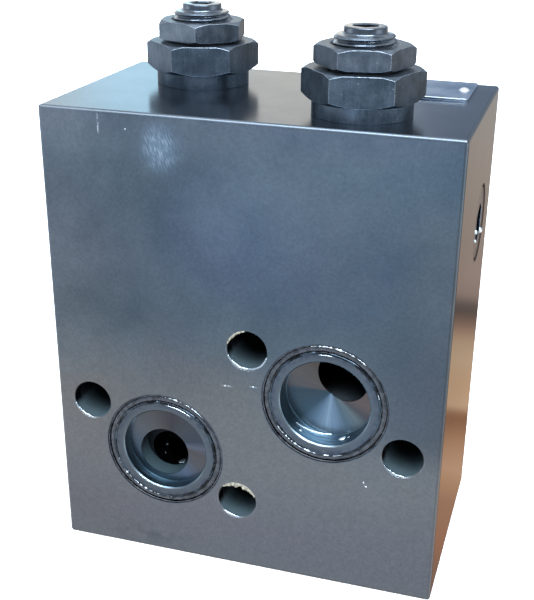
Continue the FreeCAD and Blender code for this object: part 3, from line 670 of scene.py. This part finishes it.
def block_look():
    """Oxidised, ground steel: cloudy blue-grey faces, bare rims, machined bores."""
    look = Look("block_steel")
    x, y, z = look.split(look.place)
    facing = look.split(look.facing)
    colour, clouds, mottle = face_colour(look, x, z)
    colour, scuffs = front_marks(look, colour)
    roughness = look.blend(clouds, 0.36, 0.46)
    roughness = look.blend(look.remap(facing[2], 0.9, 0.99), roughness, 0.20)    # the top is smoother
    roughness = look.blend(look.remap(facing[0], 0.9, 0.99), roughness, 0.11)    # the right side most of all
    colour, roughness = bare_edges(look, x, y, z, colour, roughness)
    colour, machined = sealed_ports(look, x, y, z, colour)
    roughness = look.blend(machined, roughness, 0.32)
    colour, drilled, lit = drilled_walls(look, x, y, z, colour, machined)
    roughness = look.blend(drilled, roughness, 0.5)
    colour, bolt, painted_shade = bolt_hole_walls(look, x, y, z, colour)
    roughness = look.blend(bolt, roughness, 0.65)
    colour, roughness = plug_gaps(look, x, y, z, colour, roughness)

    grind = look.noise(0.5, stretch=(24, 1, 1), shift=5)
    turned = look.noise(0.28, shift=15)
    height = look.plus(look.times(grind, 0.35), look.times(mottle, 0.25))
    height = look.plus(height, look.both(turned, machined, 0.8))
    height = look.minus(height, look.times(scuffs, 0.3))
    dull = look.larger(look.both(bolt, look.minus(1.0, painted_shade)), look.both(drilled, lit))
    look.set(Base_Color=colour, Metallic=look.blend(dull, 1.0, 0.25), Roughness=roughness,
             Normal=look.bump(height, 0.010))
    return look.material


def oxide_look(name, dark, light, rough, coat=0.0, wear=0.9, wear_width=0.34):
    """Black-oxide steel with pale worn edges, handling marks and a skin of oil."""
    look = Look(name)
    pale = (0.56, 0.63, 0.72)
    clouds = look.shades(5.5, detail=4.0, rough=0.6)
    grain = look.remap(look.noise(0.55, detail=3.0, shift=31), 0.30, 0.70, smooth=False)
    streaks = look.shades(0.9, 0.46, 0.72, detail=3.0, stretch=(1, 1, 8), shift=52)
    colour = look.mix(clouds, dark, light)
    colour = look.paint(colour, tuple(1.9 * level for level in light), streaks, 0.16)
    colour = look.paint(colour, tuple(0.45 * level for level in dark), grain, 0.25)
    specks = look.shades(0.9, 0.69, 0.75, shift=77)
    colour = look.paint(colour, pale, specks, 0.22)
    patchy = look.remap(look.noise(1.3, detail=3.0, shift=12), 0.30, 0.62, 0.25, 1.0)
    level = look.split(look.place)[2]
    foot = look.remap(look.math("ABSOLUTE", look.minus(level, HEIGHT)), 0.7, 1.1)
    worn = look.both(look.edge(wear_width, 0.03, 0.20), patchy, foot)
    colour = look.paint(colour, pale, worn, wear)
    height = look.plus(grain, look.times(clouds, 0.6))
    roughness = look.blend(clouds, rough, rough + 0.12)
    look.set(Base_Color=colour, Metallic=1.0, Roughness=roughness,
             Normal=look.bump(height, 0.014, look.rounded(0.25)), Coat_Weight=coat, Coat_Roughness=0.06)
    return look.material


def seal_look():
    """Nitrile rubber, wet with oil."""
    look = Look("seal_rubber")
    ripples = look.noise(1.7)
    grain = look.noise(0.25, shift=50)
    colour = look.mix(look.remap(ripples, 0.35, 0.65), (0.008, 0.010, 0.013), (0.028, 0.030, 0.036))
    height = look.plus(ripples, look.times(grain, 0.06))
    look.set(Base_Color=colour, Roughness=look.remap(ripples, 0.3, 0.7, 0.10, 0.24),
             Specular_IOR_Level=0.35, Normal=look.bump(height, 0.10), Coat_Weight=0.35, Coat_Roughness=0.05)
    return look.material


def oil_and_shade_look():
    """Dark oil lying on steel, near black so that it also paints the shade in the gaps it fills."""
    look = Look("oil")
    ripples = look.noise(0.9, shift=8)
    broad = look.noise(3.0, shift=44)
    colour = look.mix(look.remap(broad, 0.40, 0.60), (0.004, 0.006, 0.009), (0.045, 0.065, 0.085))
    look.set(Base_Color=colour, Metallic=1.0, Roughness=0.10, Normal=look.bump(ripples, 0.16),
             Coat_Weight=0.35, Coat_Roughness=0.02)
    return look.material


def plain_steel_look(name, dark, light, rough):
    """Ground or bright steel with fine turning marks. Its palest kinds carry painted highlights on the oil
    and on the bolt holes' rims.
    """
    look = Look(name)
    clouds = look.shades(3.0, detail=3.0)
    marks = look.noise(0.3, stretch=(6, 6, 1), shift=3)
    colour = look.mix(clouds, dark, light)
    colour = look.paint(colour, (0.8, 0.8, 0.8), look.edge(0.15), 0.4)
    look.set(Base_Color=colour, Metallic=1.0, Roughness=look.blend(clouds, rough, rough + 0.1),
             Normal=look.bump(marks, 0.006))
    return look.material


def plastic_look():
    """White fluoroplastic, faintly waxy."""
    look = Look("backup_plastic")
    clouds = look.noise(2.0, detail=3.0)
    colour = look.mix(look.remap(clouds, 0.3, 0.7), (0.78, 0.76, 0.70), (0.88, 0.87, 0.84))
    look.set(Base_Color=colour, Roughness=look.remap(clouds, 0.3, 0.7, 0.35, 0.5),
             Normal=look.bump(clouds, 0.01), Subsurface_Weight=0.1)
    return look.material


def residue_look():
    """Dried, yellowish paste left in a hole's mouth."""
    look = Look("residue")
    clouds = look.noise(0.8, detail=4.0, rough=0.6)
    colour = look.mix(look.remap(clouds, 0.35, 0.65), (0.11, 0.10, 0.075), (0.30, 0.27, 0.20))
    look.set(Base_Color=colour, Roughness=look.remap(clouds, 0.3, 0.7, 0.45, 0.75),
             Normal=look.bump(clouds, 0.12))
    return look.material


def plate_look():
    """Smooth anodised aluminium with a faint lilac cast, fine scratches, and near-white edges that are worn
    metal with a painted highlight.
    """
    look = Look("plate_metal")
    clouds = look.shades(9, detail=3.0)
    scratches = look.shades(0.35, 0.60, 0.72, stretch=(30, 1, 1), shift=17)
    colour = look.mix(clouds, (0.36, 0.46, 0.58), (0.52, 0.60, 0.70))
    colour = look.paint(colour, (0.85, 0.87, 0.9), scratches, 0.3)
    # near-white edges: worn bare aluminium with a painted highlight
    colour = look.paint(colour, (0.88, 0.92, 0.96), look.edge(0.25), 0.9)
    look.set(Base_Color=colour, Metallic=1.0, Roughness=look.blend(clouds, 0.15, 0.24),
             Normal=look.bump(scratches, 0.004, look.rounded(0.25)))
    return look.material


# ---- pieces made here ----
def piece(name, vertices, faces, body="block", smooth=True):
    """A mesh object from vertices in millimetres, riding on a body of the frame."""
    mesh = bpy.data.meshes.new(name)
    mesh.from_pydata([Vector(v) * MM for v in vertices], [], faces)
    mesh.validate()
    for polygon in mesh.polygons:
        polygon.use_smooth = smooth
    made = show(name, mesh)
    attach(made, body)
    return made


def ring_faces(count, segments, first=0):
    """Quads that join count rings of segments vertices each."""
    faces = []
    for level in range(count - 1):
        low = first + level * segments
        for index in range(segments):
            after = (index + 1) % segments
            faces.append((low + index, low + after, low + segments + after, low + segments + index))
    return faces


def around_y(centre, radius, angle, y):
    """Point at a radius and angle around an axis along Y."""
    return (centre[0] + radius * cos(angle), y, centre[1] + radius * sin(angle))


def around_z(centre, radius, angle, height):
    """Point around an axis along Z, at a height above the block's top face."""
    return (centre[0] + radius * cos(angle), centre[1] + radius * sin(angle), HEIGHT + height)


def thread_depth(height, angle, start):
    """How far the stud's thread lies below its crest. It fades in above start; crests and roots are flat."""
    half_valley = 0.44
    root_flat = 1.08
    phase = (height / STUD_PITCH - angle / (2 * pi)) % 1.0
    valley = max(0.0, 1.0 - abs(phase - 0.5) / half_valley)
    fade_low = min(1.0, max(0.0, (height - start) / (0.5 * STUD_PITCH)))
    fade_high = min(1.0, max(0.0, (STUD_TOP + 1 - height) / (0.3 * STUD_PITCH)))
    return STUD_THREAD_DEPTH * min(1.0, valley * root_flat) * min(fade_low, fade_high)


def make_adjuster(side):
    """Adjuster stud with its real helical thread, cap and hexagon socket."""
    axis = CARTRIDGES[side]
    angles = [2 * pi * index / STUD_SEGMENTS for index in range(STUD_SEGMENTS)]
    groove_low, groove_high, groove_radius = STUD_GROOVE
    rings = []

    def plain(radius, height):
        rings.append([around_z(axis, radius, angle, height) for angle in angles])

    for radius, height in ((STUD_CENTRE, STUD_FOOT), (STUD_RADIUS - STUD_FOOT_CHAMFER, STUD_FOOT),
                           (STUD_RADIUS, STUD_FOOT + STUD_FOOT_CHAMFER),
                           (STUD_RADIUS, groove_low), (groove_radius, groove_low),
                           (groove_radius, groove_high), (STUD_RADIUS, groove_high)):
        plain(radius, height)
    thread_start = groove_high + STUD_THREAD_GAP
    step = STUD_PITCH / THREAD_STEPS
    crest_top = STUD_TOP - 0.05
    for level in range(int((crest_top - thread_start) / step) + 1):
        height = thread_start + level * step
        limit = STUD_RADIUS - max(0.0, height - (STUD_TOP - STUD_TOP_CHAMFER))
        ring = []
        for angle in angles:
            sunk = thread_depth(height, angle, thread_start)
            ring.append(around_z(axis, min(limit, STUD_RADIUS - sunk), angle, height))
        rings.append(ring)
    plain(STUD_RADIUS - STUD_TOP_CHAMFER - 0.05, STUD_TOP)
    turns = [pi / 2 * index / STUD_FILLET_STEPS for index in range(STUD_FILLET_STEPS + 1)]
    for turn in turns:
        plain(STUD_CAP_RADIUS + STUD_FILLET * (1 - sin(turn)),
              STUD_TOP + STUD_FILLET * (1 - cos(turn)))
    for turn in turns:
        plain(STUD_CAP_RADIUS - STUD_CAP_EDGE * (1 - cos(turn)),
              STUD_CAP_TOP - STUD_CAP_EDGE * (1 - sin(turn)))

    def socket_ring(extra, height):
        """Adds a hexagonal ring, extra wider than the socket on each side."""
        ring = []
        for angle in angles:
            within = (angle - radians(SOCKET_TURN[side])) % radians(60) - radians(30)
            radius = (SOCKET_FLATS / 2 + extra) / cos(within)
            ring.append(around_z(axis, radius, angle, height))
        rings.append(ring)

    socket_ring(SOCKET_CHAMFER, STUD_CAP_TOP)
    socket_ring(0.0, STUD_CAP_TOP - SOCKET_CHAMFER)
    socket_ring(0.0, STUD_CAP_TOP - SOCKET_DEPTH)
    plain(STUD_CENTRE, STUD_CAP_TOP - SOCKET_DEPTH - SOCKET_POINT)

    vertices = [point for ring in rings for point in ring]
    faces = ring_faces(len(rings), STUD_SEGMENTS)
    last = (len(rings) - 1) * STUD_SEGMENTS
    faces.append(tuple(reversed(range(STUD_SEGMENTS))))
    faces.append(tuple(range(last, last + STUD_SEGMENTS)))
    stud = piece(f"{side}_threaded_stud", vertices, faces, f"{side}_adjuster")
    stud.modifiers.new("sharp", "EDGE_SPLIT").split_angle = STUD_SHARP
    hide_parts(f"{side}_adjuster_screw")
    return stud


def make_spring_half(side, half):
    """The upper or lower half of a cartridge's spring, cut where its two halves meet and closed there with a
    flat end."""
    x, y = CARTRIDGES[side]
    upper = half == "upper"
    inner_end = Vector((x, y, HEIGHT + SPRING_CUT)) * MM
    whole = nodes[f"{side}_spring"]
    shape = bmesh.new()
    shape.from_mesh(whole.data)
    shape.transform(whole.matrix_world)
    bmesh.ops.remove_doubles(shape, verts=shape.verts[:], dist=0.0001 * MM)
    cut = bmesh.ops.bisect_plane(shape, geom=shape.verts[:] + shape.edges[:] + shape.faces[:],
                                 plane_co=inner_end, plane_no=(0, 0, 1 if upper else -1), clear_inner=True)
    rim = [part for part in cut["geom_cut"] if isinstance(part, bmesh.types.BMEdge)]
    end_face = bmesh.ops.holes_fill(shape, edges=rim, sides=0)
    bmesh.ops.triangulate(shape, faces=end_face["faces"])
    name = f"{side}_spring_{half}"
    mesh = bpy.data.meshes.new(name)
    shape.to_mesh(mesh)
    shape.free()
    made = show(name, mesh)
    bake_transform(made)
    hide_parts(f"{side}_spring")
    return made


def make_line_thread(side):
    """Helical thread ridges on the wall of a rear line port."""
    turns = LINE_THREAD_DEPTH / LINE_PITCH - 1.2
    steps = int(turns * LINE_THREAD_STEPS)
    runout = 0.35 * LINE_THREAD_STEPS
    foot = LINE_THREAD + 0.02
    half = LINE_PITCH * 0.46
    half_crest = 0.12
    vertices = []
    for step in range(steps + 1):
        angle = 2 * pi * step / LINE_THREAD_STEPS
        grown = min(1.0, step / runout, (steps - step) / runout)
        depth = HALF_DEPTH - LINE_THREAD_START - LINE_PITCH * step / LINE_THREAD_STEPS
        crest = foot - LINE_THREAD_HEIGHT * grown
        for radius, offset in ((foot, half), (crest, half_crest), (crest, -half_crest), (foot, -half)):
            vertices.append(around_y(LINE_PORTS[side], radius, angle, depth + offset))
    faces = ring_faces(steps + 1, 4)
    faces.append((3, 2, 1, 0))
    faces.append(tuple(steps * 4 + index for index in range(4)))
    return piece(f"line_thread_{side}", vertices, faces, smooth=False)


def make_oil_bead(name, port, radius, width, rise, seed):
    """Uneven ring of oil in the corner between a groove's wall and its O-ring."""
    segments = 220
    around = 10
    sunk = 0.25
    vertices = []
    for index in range(segments):
        angle = 2 * pi * index / segments
        drift = noise.noise(Vector((cos(angle) * 2.2, sin(angle) * 2.2, seed)))
        lumps = noise.noise(Vector((cos(angle) * 9, sin(angle) * 9, seed + 5)))
        size = max(0.25, 0.80 + 0.55 * drift + 0.45 * lumps)
        for step in range(around):
            turn = 2 * pi * step / around
            reach = radius + 0.5 * width * size * cos(turn)
            vertices.append(around_y(port, reach, angle, FRONT + sunk - rise * size * sin(turn)))
    faces = []
    for index in range(segments):
        low = index * around
        high = ((index + 1) % segments) * around
        for step in range(around):
            after = (step + 1) % around
            faces.append((low + step, high + step, high + after, low + after))
    return piece(name, vertices, faces)


def make_oil_run(name, port, start, end, radii, depths, width, lumps):
    """Thin fillet of oil in a port along an arc, between two angles in degrees, beaded by lumps."""
    steps = 120
    around = 8
    vertices = []
    for step in range(steps + 1):
        part = step / steps
        angle = radians(start + (end - start) * part)
        reach = radii[0] + (radii[1] - radii[0]) * part
        depth = depths[0] + (depths[1] - depths[0]) * part
        size = 0.5 * width * sin(pi * min(0.97, max(0.03, part))) ** 0.4
        broken = noise.noise(Vector((angle * 7, radii[0], depths[0])))
        broken += noise.noise(Vector((angle * 19, start, end)))
        size *= max(0.04, 1 - lumps * (0.5 - 1.5 * broken))
        for index in range(around):
            turn = 2 * pi * index / around
            radius = reach + size * cos(turn)
            vertices.append(around_y(port, radius, angle, FRONT + depth - size * sin(turn)))
    faces = ring_faces(steps + 1, around)
    faces.append(tuple(reversed(range(around))))
    faces.append(tuple(steps * around + index for index in range(around)))
    return piece(name, vertices, faces)


def make_drops(name, places, seed, rise=0.38):
    """Small drops on a face, rise high for their size. Each place is a centre, a direction out and a size."""
    chance = random.Random(seed)
    rings = 5
    segments = 14
    sunk = 0.03
    vertices = []
    faces = []
    for centre, out, size in places:
        out = Vector(out)
        side = out.orthogonal().normalized()
        other = out.cross(side)
        start = len(vertices)
        stretch = chance.uniform(0.7, 1.3)
        for level in range(rings):
            lift = sin(pi / 2 * level / rings)
            spread = cos(pi / 2 * level / rings)
            for index in range(segments):
                angle = 2 * pi * index / segments
                wobble = 1 + 0.12 * sin(2 * angle + centre[0])
                offset = side * cos(angle) * stretch + other * sin(angle) / stretch
                vertices.append(Vector(centre) + offset * size * spread * wobble
                                + out * (rise * size * lift - sunk))
        vertices.append(Vector(centre) + out * (rise * size - sunk))
        faces += ring_faces(rings, segments, start)
        tip = len(vertices) - 1
        last = start + (rings - 1) * segments
        faces += [(last + index, last + (index + 1) % segments, tip) for index in range(segments)]
    return piece(name, vertices, faces)


def make_rim_crust(name, hole, start, end, width, seed):
    """Ragged crescent on the rim of a bolt hole, between two angles in degrees: a burr, dried paste, or a
    burr-shaped painted highlight, as its look makes it.
    """
    steps = 48
    vertices = []
    for step in range(steps + 1):
        part = step / steps
        angle = radians(start + (end - start) * part)
        ragged = 0.75 + 0.4 * noise.noise(Vector((part * 7, seed, 0.0)))
        ragged += 0.25 * noise.noise(Vector((part * 21, seed, 4.0)))
        reach = max(0.05, width * sin(pi * part) ** 0.6 * max(0.2, ragged))
        deep = 0.35 + 0.25 * noise.noise(Vector((part * 6, seed + 3, 0.0)))
        for radius, depth in ((BOLT_HOLE + 0.30, 0.02), (BOLT_HOLE + 0.02 - 0.55 * reach, 0.10),
                              (BOLT_HOLE - reach, deep), (BOLT_HOLE + 0.02, deep + 0.6)):
            vertices.append(around_y(hole, radius, angle, FRONT + depth))
    faces = [(first, last, third, second) for first, second, third, last in ring_faces(steps + 1, 4)]
    faces.append((0, 1, 2, 3))
    faces.append(tuple(steps * 4 + index for index in (3, 2, 1, 0)))
    return piece(name, vertices, faces)


# ---- putting it together ----
# how a node's name ends, and its look; every other node is of hard steel
NODE_LOOKS = (
    (("o_ring_left", "o_ring_right", "o_ring", "seal_washer"), "seal"),
    (("backup_rings",), "plastic"),
    (("manifold_block",), "block"),
    (("cartridge_body",), "cartridge"),
    (("locknut",), "nut"),
    (("adjuster_screw",), "adjuster"),
    (("plug_left", "plug_right", "bottom_plugs"), "plug"),
    (("nameplate",), "plate"),
    (("rivets",), "bright"),
)


def look_of(name):
    """Name of the look of a CAD node."""
    for endings, look in NODE_LOOKS:
        if name.endswith(endings):
            return look
    return "hard"


def finish(made, look):
    """Gives an object the material of a look."""
    made.data.materials.clear()
    made.data.materials.append(looks[look])


make_camera()
make_world()
make_floor()
looks = {
    "block": block_look(),
    "cartridge": oxide_look("cartridge_steel", (0.066, 0.090, 0.113), (0.124, 0.155, 0.190), 0.30),
    "nut": oxide_look("nut_steel", (0.090, 0.112, 0.136), (0.165, 0.190, 0.222), 0.32),
    "adjuster": oxide_look("adjuster_steel", (0.045, 0.060, 0.078), (0.090, 0.115, 0.145), 0.20, coat=1.0,
                           wear=0.45, wear_width=0.15),
    "plug": oxide_look("plug_steel", (0.092, 0.130, 0.182), (0.132, 0.178, 0.238), 0.12, wear=0.5),
    "seal": seal_look(),
    "oil": oil_and_shade_look(),
    # a real burr, and pale burr-shaped crescents that are painted highlights
    "burr_and_glint": plain_steel_look("burr_and_glint_steel", (0.30, 0.36, 0.40), (0.55, 0.62, 0.68), 0.22),
    # pale steel that stands in as a painted highlight on oil
    "painted_glint": plain_steel_look("painted_glint_steel", (0.70, 0.82, 0.88), (0.88, 0.96, 1.0), 0.30),
    "residue": residue_look(),
    "hard": plain_steel_look("hard_steel", (0.38, 0.38, 0.39), (0.52, 0.52, 0.52), 0.2),
    "bright": plain_steel_look("bright_steel", (0.66, 0.67, 0.70), (0.80, 0.80, 0.80), 0.12),
    "plastic": plastic_look(),
    "plate": plate_look(),
}
for name, node in nodes.items():
    finish(node, look_of(name))

for side in CARTRIDGES:
    finish(make_adjuster(side), "adjuster")
    finish(make_line_thread(side), "block")
    for half in ("upper", "lower"):
        finish(make_spring_half(side, half), "hard")
for index, (side, port) in enumerate(PORTS.items()):
    finish(make_oil_bead(f"oil_outer_{side}", port, GROOVE_OUTER - 0.24, 0.50, 0.20, 3.0 + index), "seal")
    # inner beads: real oil, made near black as painted shade in the gap inside each O-ring
    finish(make_oil_bead(f"oil_inner_{side}", port, GROOVE_INNER + 0.30, 1.00, 0.34, 13.0 + index), "oil")

# runs and glints of oil in pale steel, a painted highlight: port, angles where each starts and ends, radii
# and depths there, width, how lumpy
for name, port, start, end, radii, depths, width, lumps in (
    ("oil_run_wall", "right", 226, 274, (12.34, 12.28), (3.9, 6.5), 0.5, 0.0),
    ("oil_run_rim_right", "right", 232, 281, (12.58, 12.5), (0.1, 0.1), 0.36, 0.2),
    ("oil_run_rim_left", "left", 229, 264, (12.58, 12.5), (0.1, 0.1), 0.4, 0.3),
    ("oil_run_ridge_right", "right", 81, 99, (14.5, 14.5), (0.06, 0.06), 0.26, 0.2),
    ("oil_run_ridge_left", "left", 54, 88, (14.5, 14.5), (0.06, 0.06), 0.3, 0.2),
    ("oil_glint_top_right", "right", 49, 104, (16.9, 16.9), (0.22, 0.22), 0.48, 0.8),
    ("oil_glint_top_left", "left", 44, 88, (16.9, 16.9), (0.22, 0.22), 0.44, 0.8),
    ("oil_glint_side_right", "right", 2, 34, (15.1, 15.1), (0.16, 0.16), 0.28, 1.3),
    ("oil_glint_low_right", "right", 208, 290, (15.35, 15.35), (0.16, 0.16), 0.5, 1.2),
    ("oil_glint_low_left", "left", 198, 278, (15.3, 15.3), (0.16, 0.16), 0.5, 1.1),
):
    finish(make_oil_run(name, PORTS[port], start, end, radii, depths, width, lumps), "painted_glint")

# what clings to the bolt holes' rims, and burr-shaped pale crescents that are painted highlights on the lower
# left of three holes: hole, angles where it starts and ends, width, seed, look
for name, hole, start, end, width, seed, look in (
    ("bolt_hole_glint_left", 0, 198, 268, 0.45, 4.0, "burr_and_glint"),
    ("bolt_hole_burr_top", 1, 200, 345, 0.62, 2.0, "burr_and_glint"),
    ("bolt_hole_glint_right", 2, 212, 278, 0.45, 6.0, "burr_and_glint"),
    ("bolt_hole_glint_low", 3, 228, 276, 0.45, 7.0, "burr_and_glint"),
    ("bolt_hole_residue_upper", 1, 95, 165, 0.55, 5.0, "residue"),
    ("bolt_hole_residue_lower", 3, 20, 138, 1.7, 8.0, "residue"),
):
    finish(make_rim_crust(name, BOLT_HOLES[hole], start, end, width, seed), look)

OUT = (0, -1, 0)    # away from the front face
# drops of oil in pale steel, each a painted highlight
finish(make_drops("oil_drops_front", (
    ((35.4, FRONT, 33.5), OUT, 0.28),
    ((34.7, FRONT, 34.6), OUT, 0.22),
    ((-4.7, FRONT, 57.7), OUT, 0.22),
    ((-3.6, FRONT, 57.8), OUT, 0.15),
    ((3.3, FRONT, 58.6), OUT, 0.22),
    ((-30.7, FRONT, 126.0), OUT, 0.2),
), 4), "painted_glint")
finish(make_drops("oil_drops_ports", (
    ((-22.5, -21.9, 24.35), (-0.43, 0.0, 0.9), 0.9),
    ((-22.0, -22.5, 24.65), (-0.52, 0.0, 0.85), 1.0),
    ((-21.4, -23.1, 25.0), (-0.62, 0.0, 0.78), 0.85),
    ((-29.1, -16.6, 25.8), (0.77, 0.0, 0.64), 0.4),
    ((-28.4, -20.0, 25.1), (0.64, 0.0, 0.77), 0.3),
    ((27.4, -28.9, 44.9), (-0.35, 0.0, 0.94), 0.95),
    ((29.2, -29.1, 45.7), (-0.5, 0.0, 0.87), 0.4),
    ((16.2, -30.4, 46.2), (0.55, 0.0, 0.83), 0.45),
), 6), "painted_glint")
finish(make_drops("oil_drops_side_plug", (
    ((54.75, 4.2, 96.0), (1, 0, 0), 0.75),
    ((54.75, 15.7, 92.9), (1, 0, 0), 1.0),
    ((54.75, 4.9, 93.1), (1, 0, 0), 0.55),
), 9, rise=0.8), "painted_glint")

bpy.context.scene.view_settings.view_transform = "Standard"
